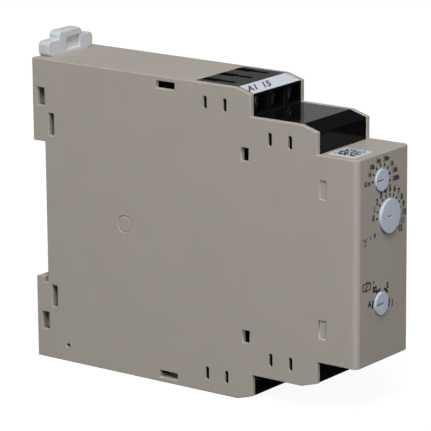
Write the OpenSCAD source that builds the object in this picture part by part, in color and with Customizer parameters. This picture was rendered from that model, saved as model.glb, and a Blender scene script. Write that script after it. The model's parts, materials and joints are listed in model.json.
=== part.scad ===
// Rail-mounted time relay, 22.5 mm wide. A moulded case with stepped terminal
// tiers holds three front dials, a sliding rail latch, six cage terminals, two
// circuit boards and an open-frame relay under its own cover.
// Millimetres. X runs across the case, Y from the front face to the rail and
// Z upwards. The origin is the centre of the rail seat.

/* [Case] */
// Width of the case along the rail, or more if its terminals need it
case_w = 22.5; // [22:0.5:30]
// Height of the case
case_h = 79; // [76:1:98]
// Depth from the front face to the rail seat
seat_depth = 96.3; // [92:0.1:120]
// Depth of the two feet behind the rail seat
foot_depth = 3.7; // [3.4:0.1:4.6]
// Height of the notch that takes the rail
rail_gap = 36; // [35.5:0.1:37]
// Thickness of the two side walls
side_wall = 1.2; // [1:0.1:1.6]
// Thickness of the roof, floor, ledges and nose walls
edge_wall = 1.6; // [1.2:0.1:2]
// Thickness of the front panel
front_wall = 1.8; // [1.4:0.1:2.2]
// Thickness of the wall behind the rail seat
seat_wall = 1.3; // [1:0.1:1.3]
// Thickness of the rear wall of the feet
rear_wall = 1.2; // [1:0.1:1.3]
// Radius of the upright edges of the nose
nose_round = 1.5; // [0.5:0.1:2]
// Step below the rail seat, under the latch and in the groove
seat_relief = 0.1; // [0.05:0.05:0.3]
// Depth of the groove in the lower foot
groove_depth = 1.5; // [1:0.1:2]
// Width of the groove in the lower foot
groove_w = 1.3; // [1.1:0.1:1.6]

/* [Tiers] */
// Length of the nose in front of the first tier
nose_len = 11.7; // [10:0.1:14]
// Length of the front tier
tier_len = 19.5; // [19:0.1:24]
// Height of each step
tier_step = 6.8; // [6:0.1:8.2]
// Length of the sloped edge of each tier
slope_run = 4.7; // [3:0.1:5.6]
// Drop of the sloped edge of each tier
slope_drop = 1.35; // [0.8:0.05:1.4]
// Length of the rear tier block
block_len = 17.7; // [17.6:0.1:22]
// How far the blocks reach down below the front tread
block_skirt = 8; // [6:0.1:9.6]
// Wall of the blank covers
blank_wall = 1.6; // [1.2:0.1:2]
// Clearance between fitted mouldings
fit_gap = 0.1; // [0.05:0.01:0.2]

/* [Snap windows] */
// Width of the tab slots
slot_w = 1.15; // [0.9:0.05:1.4]
// Length of the tab slots
slot_len = 3.4; // [2.5:0.1:4]
// Distance from a riser to its first tab slot
slot_offset = 7.9; // [6:0.1:9]
// Distance between two tab slots
slot_pitch = 6; // [4:0.1:7]
// Depth of the slot centres below the tread
slot_drop = 4.9; // [4:0.1:5.5]
// How far the tabs of the black mouldings stand back from the outer face
tab_recess = 0.35; // [0.2:0.05:0.6]
// How far the hooks in the windows stand back from the outer face
hook_recess = 0.75; // [0.5:0.05:0.9]
// Length of a hook in its window
hook_len = 0.45; // [0.3:0.05:0.8]

/* [Terminals] */
// Number of terminals in a block
terminal_count = 3; // [1:1:3]
// Distance between terminals
terminal_pitch = 6.9; // [6.2:0.1:8.2]
// Depth of the screw axes below the top face
screw_drop = 4.35; // [4:0.05:4.8]
// Diameter of the screw thread
screw_d = 3; // [2.5:0.1:3]
// Pitch of the screw thread
thread_pitch = 0.5; // [0.45:0.05:0.6]
// Diameter of the screw head
head_d = 4.4; // [3.8:0.1:4.5]
// Height of the screw head
head_h = 1.9; // [1.4:0.1:2.4]
// Depth of the head seat behind the riser
head_seat = 4.2; // [3.6:0.1:4.6]
// Side of the square driver pocket
pocket_w = 5.2; // [4.8:0.1:5.6]
// Height of the driver pocket
pocket_h = 4.7; // [4.6:0.1:5]
// Travel of the wire clamp
clamp_travel = 3; // [2:0.1:3]
// Outer width of the wire clamp
clamp_w = 4.6; // [4.2:0.1:4.8]
// Height of the wire clamp
clamp_h = 4; // [3.4:0.1:4.2]
// Thickness of the wire clamp's sides
clamp_side = 0.5; // [0.4:0.05:0.6]
// Thickness of the contact bars
bar_t = 0.8; // [0.6:0.1:1]
// Width of the wire entry
entry_w = 2.6; // [1.8:0.1:2.8]
// Width of the guide slot in front of the wire entry
guide_w = 1.4; // [0.9:0.1:1.6]
// Thickness of the paper labels
label_t = 0.15; // [0.1:0.05:0.25]
// Side of the square code label
code_side = 7.8; // [6:0.1:9]

/* [Rail latch] */
// Width of the latch head
latch_w = 17.8; // [15:0.1:18.6]
// Height of the latch shoulders above the case
shoulder_h = 3.9; // [3:0.1:5]
// Width of the hump on the latch head
hump_w = 9; // [7:0.1:12]
// Height of the hump above the case
hump_h = 5.9; // [5:0.1:8]
// Thickness of the latch head
latch_t = 3.4; // [3:0.1:3.4]
// Depth of the screwdriver recess in the front of the latch head
grip_depth = 1; // [0.6:0.1:1.4]
// Width of the latch stem
stem_w = 14; // [10:0.1:14.4]
// Thickness of the latch stem
stem_t = 2.2; // [1.6:0.1:2.2]
// How far the latch tip reaches into the rail notch
tip_reach = 1.9; // [1.5:0.1:2.4]
// Release travel of the latch
latch_travel = 3.5; // [2.5:0.1:4]
// Outer diameter of the latch spring
spring_d = 1.9; // [1.5:0.1:2]
// Wire diameter of the latch spring
spring_wire = 0.3; // [0.2:0.05:0.4]
// Length of the latch spring at rest
spring_len = 9; // [7:0.1:10]

/* [Dials] */
// Diameter of the range dial
range_d = 5.5; // [4.5:0.1:6.4]
// Place of the range dial across the front
range_x = -1.1; // [-3:0.1:3]
// Height of the range dial above the middle
range_z = 19.4; // [18:0.1:21]
// Diameter of the time dial
time_d = 8.5; // [7:0.1:9.4]
// Place of the time dial across the front
time_x = 2.2; // [-2:0.1:3]
// Height of the time dial above the middle
time_z = 9.9; // [8:0.1:10.5]
// Diameter of the mode dial
mode_d = 5.6; // [4.5:0.1:6.4]
// Place of the mode dial across the front
mode_x = -1.05; // [-3:0.05:3]
// Height of the mode dial above the middle
mode_z = -11.4; // [-14:0.1:-8]
// Height of the small dials above the front face
small_proud = 0.45; // [0.2:0.05:1]
// Height of the time dial above the front face
time_proud = 0.7; // [0.3:0.05:1.2]
// Gap round each dial in the front panel
dial_gap = 0.12; // [0.05:0.01:0.2]
// Diameter of the dial stems
stem_d = 2.4; // [2:0.1:2.8]
// Running clearance of the dial stems
stem_gap = 0.05; // [0.02:0.01:0.1]

/* [Boards] */
// Thickness of the circuit boards
board_t = 1.6; // [1:0.1:1.6]
// Gap between the main board and the far side wall
board_stand = 0.85; // [0.6:0.05:1.2]
// Distance from the front panel to the front board
dial_room = 5.2; // [5:0.1:6]
// Clearance round the edges of the boards
board_gap = 0.8; // [0.5:0.1:1.2]

/* [Relay] */
// Length of the relay
relay_len = 29; // [29:0.1:31]
// Width of the relay
relay_w = 12.7; // [12.4:0.1:14]
// Height of the relay above the board
relay_h = 15.4; // [15.2:0.1:16]
// Wall of the relay cover
relay_wall = 0.6; // [0.5:0.05:0.7]
// Diameter of the relay core
core_d = 3.6; // [3:0.1:4.2]
// Diameter of the relay winding
coil_d = 9.4; // [8:0.1:9.6]
// Working gap between the core and the free end of the armature
air_gap = 0.9; // [0.7:0.05:0.9]

/* [Hidden] */
$fn = 48;

case_colour = [0.72, 0.69, 0.64];
block_colour = [0.07, 0.07, 0.075];
white_plastic = [0.86, 0.87, 0.88];
metal_colour = [0.78, 0.78, 0.76];
board_colour = [0.1, 0.32, 0.2];

cut = 1;
lap = 0.2;

// Outline of the case, seen from the side
terminal_row_w = (terminal_count - 1) * terminal_pitch + pocket_w;
block_end_wall = 0.2;
overall_w = max(case_w, terminal_row_w + 2 * (block_end_wall + fit_gap + side_wall));
half_w = overall_w / 2;
half_h = case_h / 2;
front_y = -seat_depth;
near_x = -half_w + side_wall;
far_x = half_w - side_wall;
tier_y = front_y + nose_len;
riser_y = tier_y + tier_len;
block_end_y = riser_y + block_len;
tread_z = half_h - tier_step;
nose_z = half_h - 2 * tier_step;
half_gap = rail_gap / 2;
block_x = far_x - fit_gap;
slope_angle = atan(slope_drop / slope_run);
slope_len = norm([slope_run, slope_drop]);

// Terminals, measured back from the riser
screw_z = half_h - screw_drop;
head_y = riser_y + head_seat;
web_y = head_y + 3;
bar_y = head_y + 9.1;
clamp_front_y = bar_y - 3;
clamp_front_t = 1.6;
clamp_jaw_t = 1;
jaw_y = bar_y + bar_t + clamp_travel + 0.2;
clamp_end_y = jaw_y + clamp_jaw_t;
chamber_end_y = clamp_end_y + 0.25;
block_back_y = chamber_end_y + 1.2;
entry_end_y = jaw_y + 0.15;
skirt_z = tread_z - block_skirt;
bar_w = clamp_w - 2 * clamp_side - 0.4;
bar_top_z = screw_z + clamp_h / 2;
fin_h = 1.2;
fin_w = guide_w - 0.2;
fin_t = 0.8;

// Latch channel in the upper foot
channel_y = foot_depth - rear_wall;
stem_y = fit_gap;
tip_t = 1;
stem_side = 0.3;
tip_z = half_gap - tip_reach;
ear_w = 1.6;
ear_z = half_gap + edge_wall + 0.3;
ear_h = 2;
window_w = 3;
window_z = ear_z + 1.2;
anchor_z = window_z + spring_len;
anchor_h = 1.5;
window_h = spring_len + anchor_h + 0.4;

// Boards
board_x = far_x - board_stand - board_t;
front_board_y = front_y + front_wall + dial_room;
main_front_y = front_board_y + board_t + 0.6;
main_rear_y = -seat_wall - board_gap;
low_z = skirt_z - 4.2;
high_z = half_h - edge_wall - board_gap;
shoulder_y = block_back_y + board_gap;
post_y = [main_front_y + 5, main_rear_y - 5];
post_z = low_z - 4;

// Relay, measured from the board face and the middle of the board
relay_y = (shoulder_y + main_rear_y) / 2 + 2;
relay_x = board_x - relay_h;
base_t = 2;
coil_y = relay_y - relay_len / 2 + 7.6;
coil_len = 7;
coil_x = board_x - base_t - 1.4;
flange_t = 0.7;
yoke_t = 1.2;
yoke_y = coil_y + coil_d / 2 + 0.9;
core_top_x = coil_x - coil_len - 2 * flange_t - 0.3;
pivot_x = core_top_x - air_gap * 0.6;
armature_t = 1;
armature_angle = 5;

// ---- shared shapes ----

// Extrudes a (Y, Z) outline from x0 to x1
module across(x0, x1) {
    translate([x0, 0, 0])
        rotate([90, 0, 90])
            linear_extrude(height = x1 - x0)
                children();
}

// Extrudes an (X, Z) outline from y0 to y1
module deep(y0, y1) {
    translate([0, y1, 0])
        rotate([90, 0, 0])
            linear_extrude(height = y1 - y0)
                children();
}

// Cylinder along Y from y0 to y1
module rod_y(x, z, d, y0, y1) {
    translate([x, y1, z])
        rotate([90, 0, 0])
            cylinder(d = d, h = y1 - y0);
}

// Cylinder along X from x0 to x1
module rod_x(y, z, d, x0, x1) {
    translate([x0, y, z])
        rotate([0, 90, 0])
            cylinder(d = d, h = x1 - x0);
}

// Box between two corners
module span(low, high) {
    translate(low)
        cube(high - low);
}

// Rectangle between two corners
module patch(low, high) {
    translate(low)
        square(high - low);
}

// Outline and its mirror image below the middle
module both_ends_flat() {
    children();
    scale([1, -1])
        children();
}

// Shape and its mirror image below the middle
module both_ends() {
    children();
    mirror([0, 0, 1])
        children();
}

module at_end(end) {
    if (end > 0)
        children();
    else
        mirror([0, 0, 1])
            children();
}

// Rectangle of size w by h about the origin with corners of radius r
module rounded_patch(w, h, r) {
    square([w - 2 * r, h], center = true);
    square([w, h - 2 * r], center = true);
    for (sx = [-1, 1], sy = [-1, 1])
        translate([sx * (w / 2 - r), sy * (h / 2 - r)])
            circle(r = r);
}

// Upper half of the case outline, from the front face to the rail seat
function upper_outline() = [
    [front_y, nose_z],
    [tier_y, nose_z],
    [tier_y, tread_z - slope_drop],
    [tier_y + slope_run, tread_z],
    [riser_y, tread_z],
    [riser_y, half_h - slope_drop],
    [riser_y + slope_run, half_h],
    [foot_depth, half_h],
    [foot_depth, half_gap],
    [0, half_gap]
];

function lower_outline() = [for (p = upper_outline()) [p[0], -p[1]]];

function reversed(list) = [for (i = [len(list) - 1:-1:0]) list[i]];

// Groove in the lower foot that takes the lower edge of the rail
module groove_outline() {
    patch([-seat_relief, -half_gap - groove_depth], [groove_w, -half_gap]);
    patch([0, -half_gap - lap], [groove_w, -half_gap + cut]);
}

module case_outline() {
    difference() {
        polygon(concat(upper_outline(), reversed(lower_outline())));
        groove_outline();
    }
}

// Slot outlines of one pair of tabs behind a riser at y, under a tread at z
module tab_pair(y, z, shrink) {
    w = slot_w - 2 * shrink;
    h = slot_len - 2 * shrink;
    for (i = [0, 1])
        translate([y + slot_offset + i * slot_pitch, z - slot_drop])
            rounded_patch(w, h, w / 2 - 0.02);
}

module tab_outlines(shrink) {
    tab_pair(tier_y, tread_z, shrink);
    tab_pair(riser_y, half_h, shrink);
}

// Snap windows: [y, z] of the lower corner and [length, height]
rear_window = [[-0.1, half_h - 12.2], [2.4, 4.8]];
seat_window = [[-3.05, half_gap + 1.8], [1.75, 5.9]];
roof_window = [[block_end_y + 5.5, half_h - 3.1], [5.8, 1.85]];
tier_window = [[riser_y + 0.85, tread_z - 11.3], [2, 3.4]];

module window_patch(window) {
    patch(window[0], window[0] + window[1]);
}

rib_t = 0.7;
rib_back = 1.4;

// Section of a hook at the front edge of its window
module hook_nose(window) {
    patch(window[0] + [fit_gap, fit_gap], window[0] + [fit_gap + hook_len, window[1][1] - fit_gap]);
}

// Rounds an upright edge of the nose; side is -1 for the near edge
module nose_edge_cut(side) {
    difference() {
        translate([side * (half_w - nose_round / 2 + cut / 2), front_y + nose_round / 2 - cut / 2, 0])
            cube([nose_round + cut, nose_round + cut, 2 * nose_z + 2 * cut], center = true);
        translate([side * (half_w - nose_round), front_y + nose_round, -nose_z - 2 * cut])
            cylinder(r = nose_round, h = 2 * nose_z + 4 * cut);
    }
}

// ---- case ----

module edge_wall_patches() {
    patch([front_y, -nose_z], [front_y + front_wall, nose_z]);
    patch([-seat_wall, -half_h], [0, half_h]);
    for (s = [-1, 1])
        scale([1, s]) {
            patch([front_y, nose_z - edge_wall], [tier_y, nose_z]);
            patch([block_end_y + fit_gap, half_h - edge_wall], [foot_depth, half_h]);
            patch([foot_depth - rear_wall, half_gap], [foot_depth, half_h]);
        }
    patch([-seat_wall, half_gap], [foot_depth, half_gap + edge_wall]);
    patch([-seat_wall, -half_gap - groove_depth - edge_wall], [foot_depth, -half_gap]);
}

module edge_walls() {
    difference() {
        edge_wall_patches();
        groove_outline();
    }
}

module latch_channel_cut() {
    half_stem = stem_w / 2 + stem_side;
    span([-half_stem, 0, half_gap - cut], [half_stem, channel_y, half_gap + edge_wall + cut / 2]);
    span([-half_stem, -seat_relief, tip_z - fit_gap], [half_stem, cut / 2, half_gap + edge_wall + cut / 2]);
    span([-half_stem, 0, half_h - edge_wall - cut / 2], [half_stem, channel_y, half_h + cut]);
}

// Catches of the side cover: a short nose at the front edge of each window,
// on a rib that stands inside the case
module snap_hooks() {
    hook_x = -half_w + hook_recess;
    rear_high = rear_window[0] + rear_window[1];
    across(hook_x, near_x + 3)
        hook_nose(rear_window);
    across(near_x + rib_back, near_x + 3)
        patch(rear_window[0], [foot_depth - lap, rear_high[1]]);
    across(hook_x, near_x + 2)
        hook_nose(roof_window);
    across(near_x, near_x + 2)
        patch(roof_window[0] + [-rib_t, fit_gap], [roof_window[0][0], half_h - edge_wall + lap]);
    across(hook_x, near_x + lap)
        hook_nose(tier_window);
    across(near_x, far_x + lap)
        patch(
            tier_window[0] + [-rib_t, fit_gap],
            tier_window[0] + [fit_gap + hook_len, tier_window[1][1] - fit_gap]
        );
}

// Pegs and pads that carry the main board on the far wall
module board_posts() {
    for (y = post_y, s = [-1, 1]) {
        rod_x(y, s * post_z, 4.4, far_x - board_stand, far_x + lap);
        rod_x(y, s * post_z, 1.9, far_x - board_stand - board_t + 0.3, far_x);
    }
}

// Fixed peg that the latch spring pushes against
module spring_anchor() {
    span([-window_w / 2 + 0.3, -lap, anchor_z], [window_w / 2 - 0.3, channel_y + lap, anchor_z + anchor_h]);
}

module latch_stops() {
    for (s = [-1, 1]) {
        x0 = stem_w / 2 + stem_side;
        x1 = x0 + ear_w;
        low = [min(s * x0, s * x1), -lap, ear_z + ear_h + latch_travel + 0.1];
        span(low, [max(s * x0, s * x1), channel_y + lap, low[2] + 1.2]);
    }
}

module housing() {
    color(case_colour)
        difference() {
            union() {
                across(far_x, half_w)
                    case_outline();
                across(near_x, far_x + lap)
                    edge_walls();
                both_ends()
                    snap_hooks();
                board_posts();
                spring_anchor();
                latch_stops();
            }
            latch_channel_cut();
            across(near_x - cut / 2, near_x + 2.6)
                both_ends_flat()
                    patch(
                        roof_window[0] + [fit_gap + hook_len, 0],
                        roof_window[0] + roof_window[1] + [fit_gap, 0]
                    );
            nose_edge_cut(1);
            rod_y(range_x, range_z, range_d + 2 * dial_gap, front_y - cut, front_y + front_wall + cut);
            rod_y(time_x, time_z, time_d + 2 * dial_gap, front_y - cut, front_y + front_wall + cut);
            rod_y(mode_x, mode_z, mode_d + 2 * dial_gap, front_y - cut, front_y + front_wall + cut);
            across(far_x - cut / 2, half_w + cut)
                for (s = [-1, 1])
                    scale([1, s])
                        tab_outlines(0);
        }
}

// Shallow marks on the outside of the cover
mark_depth = 0.35;
gate_d = 4.6;
gate_ring = 0.45;
gate_y = front_y + 70.75;

module cover_marks() {
    mark_x = -half_w + mark_depth;
    across(-half_w - cut, mark_x)
        for (s = [-1, 1])
            scale([1, s])
                patch([front_y + 9.1, nose_z - 10.85], [front_y + 11, nose_z - 6.1]);
    across(-half_w - cut, -half_w + 0.2)
        translate([gate_y, 0])
            difference() {
                circle(d = gate_d);
                circle(d = gate_d - 2 * gate_ring);
            }
    rod_x(-6.35, -half_h + 4.26, 1.2, -half_w - cut, near_x + cut);
}

module side_cover() {
    color(case_colour)
        difference() {
            across(-half_w, near_x)
                case_outline();
            nose_edge_cut(-1);
            cover_marks();
            across(-half_w - cut, near_x + cut)
                for (s = [-1, 1])
                    scale([1, s]) {
                        window_patch(rear_window);
                        window_patch(seat_window);
                        window_patch(roof_window);
                        window_patch(tier_window);
                        tab_outlines(0);
                    }
        }
}

// ---- terminal blocks ----

module label_slab(grow = 0) {
    translate([0, riser_y, half_h - slope_drop])
        rotate([slope_angle, 0, 0])
            translate([-block_x + 0.15 - grow, 0.12 - grow, -label_t])
                cube([2 * block_x - 0.3 + 2 * grow, slope_len - 0.24 + 2 * grow, label_t + grow]);
}

module block_outline() {
    polygon([
        [riser_y, skirt_z],
        [riser_y, half_h - slope_drop],
        [riser_y + slope_run, half_h],
        [block_end_y, half_h],
        [block_end_y, half_h - edge_wall - fit_gap],
        [block_back_y, half_h - edge_wall - fit_gap],
        [block_back_y, skirt_z]
    ]);
}

function terminal_x(i) = (i - (terminal_count + 1) / 2) * terminal_pitch;

// Everything cut out of a block for one terminal
module terminal_chamber(x) {
    chamber_w = clamp_w + 0.4;
    chamber_h = clamp_h + 0.4;
    span(
        [x - pocket_w / 2, riser_y - cut, screw_z - pocket_h / 2],
        [x + pocket_w / 2, head_y, screw_z + pocket_h / 2]
    );
    rod_y(x, screw_z, screw_d + 0.3, head_y - lap, web_y + lap);
    span(
        [x - chamber_w / 2, web_y, screw_z - chamber_h / 2],
        [x + chamber_w / 2, chamber_end_y, screw_z + chamber_h / 2]
    );
    span(
        [x - guide_w / 2, clamp_front_y - clamp_travel + 0.6, screw_z],
        [x + guide_w / 2, bar_y + bar_t, half_h + cut]
    );
    span([x - entry_w / 2, bar_y + bar_t - 0.1, screw_z], [x + entry_w / 2, entry_end_y, half_h + cut]);
    span([x - entry_w / 2, bar_y - 0.6, bar_top_z + 0.3], [x + entry_w / 2, entry_end_y, half_h + cut]);
    span(
        [x - bar_w / 2 - 0.1, bar_y - 0.1, skirt_z - cut],
        [x + bar_w / 2 + 0.1, bar_y + bar_t + 0.1, screw_z]
    );
}

module terminal_block(end) {
    color(block_colour)
        at_end(end)
            difference() {
                union() {
                    across(-block_x, block_x)
                        block_outline();
                    across(-block_x - side_wall + tab_recess, block_x + side_wall - tab_recess)
                        tab_pair(riser_y, half_h, 0.1);
                }
                label_slab(grow = 0.02);
                for (i = [1:terminal_count])
                    terminal_chamber(terminal_x(i));
            }
}

module blank_outline(inset) {
    y0 = tier_y + fit_gap + inset;
    y1 = riser_y - fit_gap - inset;
    top = tread_z - inset;
    polygon([
        [y0, nose_z - edge_wall - cut * sign(inset)],
        [y0, top - slope_drop],
        [y0 + slope_run, top],
        [y1, top],
        [y1, nose_z - edge_wall - cut * sign(inset)]
    ]);
}

module blank_cover(end) {
    color(block_colour)
        at_end(end) {
            difference() {
                across(-block_x, block_x)
                    blank_outline(0);
                across(-block_x + blank_wall, block_x - blank_wall)
                    blank_outline(blank_wall);
            }
            for (s = [-1, 1]) {
                x0 = s * (block_x - lap);
                x1 = s * (block_x + side_wall - tab_recess);
                across(min(x0, x1), max(x0, x1))
                    tab_pair(tier_y, tread_z, 0.1);
            }
        }
}

module terminal_label(end) {
    color("white")
        at_end(end)
            label_slab();
}

module code_label() {
    color("white")
        translate([-half_w + 2.25, front_y + 2.3, nose_z])
            cube([code_side, code_side, label_t]);
}

// Contact bars: an upright plate behind each screw, cranked to the board
module contact_bars(end) {
    color(metal_colour)
        at_end(end)
            for (i = [1:terminal_count]) {
                x = terminal_x(i);
                foot_z = skirt_z - 2 - (terminal_count - i) * 2.4;
                tail_x = min(x - bar_w / 2, board_x - 0.8);
                head_x = max(board_x, x + bar_w / 2);
                span([x - bar_w / 2, bar_y, foot_z], [x + bar_w / 2, bar_y + bar_t, bar_top_z]);
                span([tail_x, bar_y, foot_z - 1.2], [head_x, bar_y + bar_t, foot_z + lap]);
                span([board_x - 0.8, bar_y, low_z - 3 - i], [board_x, bar_y + bar_t, foot_z - 1]);
            }
}

module terminal_screw(i, end) {
    x = terminal_x(i);
    z = end * screw_z;
    driver_w = 0.8;
    color(metal_colour)
        difference() {
            union() {
                rod_y(x, z, head_d, head_y - head_h, head_y - 0.02);
                rod_y(x, z, screw_d - 0.05, head_y - lap, bar_y - 0.05);
            }
            for (turn = [0, 90])
                translate([x, head_y - head_h, z])
                    rotate([0, turn + 25 * i, 0])
                        cube([head_d - 1.2, 1.8, driver_w], center = true);
        }
}

module wire_clamp(i, end) {
    x = terminal_x(i);
    color(metal_colour)
        at_end(end)
            difference() {
                union() {
                    span(
                        [x - clamp_w / 2, clamp_front_y, screw_z - clamp_h / 2],
                        [x + clamp_w / 2, clamp_end_y, screw_z + clamp_h / 2]
                    );
                    span(
                        [x - fin_w / 2, clamp_front_y + clamp_front_t - fin_t, screw_z],
                        [x + fin_w / 2, clamp_front_y + clamp_front_t, screw_z + clamp_h / 2 + fin_h]
                    );
                }
                span(
                    [x - clamp_w / 2 + clamp_side, clamp_front_y + clamp_front_t, screw_z - clamp_h],
                    [x + clamp_w / 2 - clamp_side, jaw_y, screw_z + clamp_h]
                );
                rod_y(
                    x,
                    screw_z,
                    screw_d + 0.05,
                    clamp_front_y - cut,
                    clamp_front_y + clamp_front_t + cut / 2
                );
            }
}

// ---- rail latch ----

module latch_head_outline() {
    r = 1.2;
    base_drop = half_h + shoulder_h / 2;
    translate([0, base_drop])
        rounded_patch(latch_w, shoulder_h, r);
    translate([0, half_h + hump_h / 2])
        rounded_patch(hump_w, hump_h, r);
    patch([-stem_w / 2, half_h], [stem_w / 2, half_h + 1.5]);
}

module rail_latch() {
    color(white_plastic)
        difference() {
            union() {
                deep(stem_y, stem_y + latch_t)
                    latch_head_outline();
                span([-stem_w / 2, stem_y, half_gap + 0.2], [stem_w / 2, stem_y + stem_t, half_h + 1]);
                across(-stem_w / 2, stem_w / 2)
                    polygon([
                        [stem_y + stem_t - tip_t, half_gap + 1],
                        [stem_y + stem_t - tip_t, tip_z],
                        [stem_y + stem_t - tip_t / 2, tip_z],
                        [stem_y + stem_t, tip_z + 1],
                        [stem_y + stem_t, half_gap + 1]
                    ]);
                for (s = [-1, 1])
                    translate([s * stem_w / 2, stem_y + stem_t / 2, ear_z + ear_h / 2])
                        cube([2 * ear_w, stem_t, ear_h], center = true);
            }
            span(
                [-window_w / 2, -cut, window_z],
                [window_w / 2, channel_y + cut, window_z + window_h]
            );
            span([-1.4, -cut, half_h + 0.9], [hump_w / 2 - 0.9, stem_y + grip_depth, half_h + shoulder_h]);
        }
}

// Compression spring swept along a helix
module latch_spring() {
    turns = 8;
    steps = 14;
    sides = 8;
    mean_r = (spring_d - spring_wire) / 2;
    wire_r = spring_wire / 2;
    rise = spring_len - spring_wire - 0.1;
    count = turns * steps;
    points = [
        for (i = [0:count], j = [0:sides - 1])
            let (
                a = 360 * i / steps,
                b = 360 * j / sides,
                r = mean_r + wire_r * cos(b)
            )
                [r * cos(a), r * sin(a), rise * i / count + wire_r * sin(b)]
    ];
    walls = [
        for (i = [0:count - 1], j = [0:sides - 1])
            let (k = (j + 1) % sides)
                [i * sides + j, i * sides + k, (i + 1) * sides + k, (i + 1) * sides + j]
    ];
    start_cap = [[for (j = [sides - 1:-1:0]) j]];
    end_cap = [[for (j = [0:sides - 1]) count * sides + j]];
    color(metal_colour)
        translate([0, channel_y / 2, window_z + wire_r + 0.05])
            polyhedron(points = points, faces = concat(walls, start_cap, end_cap));
}

// ---- dials and their switches ----

// A dial with its pointer slot, which runs from slot_from to slot_to off its axis
module dial(x, z, d, proud, slot_from, slot_to) {
    flange_d = d + 1;
    slot_half = 0.22;
    body_y = front_y + front_wall;
    color(white_plastic)
        difference() {
            union() {
                rod_y(x, z, d, front_y - proud, body_y + 0.3);
                rod_y(x, z, flange_d, body_y + 0.15, body_y + 0.75);
                rod_y(x, z, stem_d, body_y + 0.5, front_board_y - 0.6);
            }
            span(
                [x + slot_from, front_y - proud - cut, z - slot_half],
                [x + slot_to, front_y - proud + 0.4, z + slot_half]
            );
        }
}

module dial_body(x, z, w, thick) {
    body_y = front_board_y - thick;
    color([0.16, 0.2, 0.3])
        difference() {
            span([x - w / 2, body_y, z - w / 2], [x + w / 2, front_board_y, z + w / 2]);
            rod_y(x, z, stem_d + 2 * stem_gap, body_y - cut, front_board_y - 0.4);
        }
}

range_body_w = 7.2;
time_body_w = 9.6;
mode_body_w = 7.2;
body_thick = 3.2;

module indicator_leds() {
    color([0.85, 0.9, 0.8])
        for (z = [time_z - 4, mode_z + 5.5])
            span([-half_w + 3.2, front_board_y - 0.8, z], [-half_w + 4.8, front_board_y, z + 0.8]);
}

// ---- boards ----

module front_board() {
    color(board_colour)
        span(
            [near_x + 0.4, front_board_y, -nose_z + edge_wall + board_gap],
            [board_x - 0.2, front_board_y + board_t, nose_z - edge_wall - board_gap]
        );
}

module main_board() {
    color(board_colour)
        difference() {
            across(board_x, board_x + board_t) {
                patch([main_front_y, -low_z], [main_rear_y, low_z]);
                patch([shoulder_y, -high_z], [main_rear_y, high_z]);
            }
            for (y = post_y, s = [-1, 1])
                rod_x(y, s * post_z, 2.1, board_x - cut, board_x + board_t + cut);
        }
}

header_pins = 8;
header_pitch = 2;

module board_header() {
    rows = (header_pins - 1) * header_pitch / 2;
    color([0.12, 0.12, 0.12])
        span([board_x - 2.2, main_front_y + 0.4, -rows - 1], [board_x, main_front_y + 2.6, rows + 1]);
    color(metal_colour)
        for (i = [0:header_pins - 1]) {
            z = -rows + i * header_pitch;
            span(
                [board_x - 1.4, front_board_y + board_t, z - 0.25],
                [board_x - 0.9, main_front_y + 0.6, z + 0.25]
            );
        }
}

// ---- relay ----

module relay_base() {
    color([0.12, 0.13, 0.15])
        span(
            [board_x - base_t, relay_y - relay_len / 2, -relay_w / 2],
            [board_x, relay_y + relay_len / 2, relay_w / 2]
        );
}

module relay_cover() {
    w = relay_wall;
    color([0.25, 0.42, 0.6])
        difference() {
            span(
                [relay_x, relay_y - relay_len / 2, -relay_w / 2],
                [board_x - base_t, relay_y + relay_len / 2, relay_w / 2]
            );
            span(
                [relay_x + w, relay_y - relay_len / 2 + w, -relay_w / 2 + w],
                [board_x - base_t + cut, relay_y + relay_len / 2 - w, relay_w / 2 - w]
            );
        }
}

module relay_bobbin() {
    flange_w = coil_d + 0.6;
    color([0.93, 0.93, 0.9])
        difference() {
            union() {
                for (x = [coil_x - flange_t, coil_x - coil_len - 2 * flange_t])
                    span(
                        [x, coil_y - flange_w / 2, -flange_w / 2],
                        [x + flange_t, coil_y + flange_w / 2, flange_w / 2]
                    );
                rod_x(coil_y, 0, core_d + 1.2, coil_x - coil_len - flange_t, coil_x - flange_t);
            }
            rod_x(coil_y, 0, core_d, coil_x - coil_len - 3, coil_x + cut);
        }
}

module relay_winding() {
    color([0.7, 0.35, 0.16])
        difference() {
            rod_x(coil_y, 0, coil_d, coil_x - coil_len - flange_t, coil_x - flange_t);
            rod_x(coil_y, 0, core_d + 1.2, coil_x - coil_len - 2, coil_x + cut);
        }
}

module relay_core() {
    color(metal_colour)
        rod_x(coil_y, 0, core_d, core_top_x, coil_x);
}

module relay_yoke() {
    yoke_w = relay_w - 4;
    color(metal_colour) {
        span(
            [coil_x, coil_y - core_d / 2 - 1, -yoke_w / 2],
            [coil_x + yoke_t, yoke_y + yoke_t, yoke_w / 2]
        );
        span([pivot_x + 0.1, yoke_y, -yoke_w / 2], [coil_x + yoke_t, yoke_y + yoke_t, yoke_w / 2]);
    }
}

// Armature plate over the core, hinged on the top edge of the yoke
module relay_armature() {
    arm_w = relay_w - 4.4;
    lift = air_gap * 0.4;
    color(metal_colour)
        across_z(arm_w)
            polygon([
                [pivot_x, yoke_y + yoke_t],
                [pivot_x - lift, coil_y - core_d / 2 - 1.2],
                [pivot_x - lift - armature_t, coil_y - core_d / 2 - 1.2],
                [pivot_x - armature_t, yoke_y + yoke_t]
            ]);
}

// Extrudes an (X, Y) outline about the middle plane
module across_z(w) {
    translate([0, 0, -w / 2])
        linear_extrude(height = w)
            children();
}

contact_y = yoke_y + yoke_t + 2.6;
contact_x = pivot_x + 7;
blade_t = 0.3;

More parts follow.
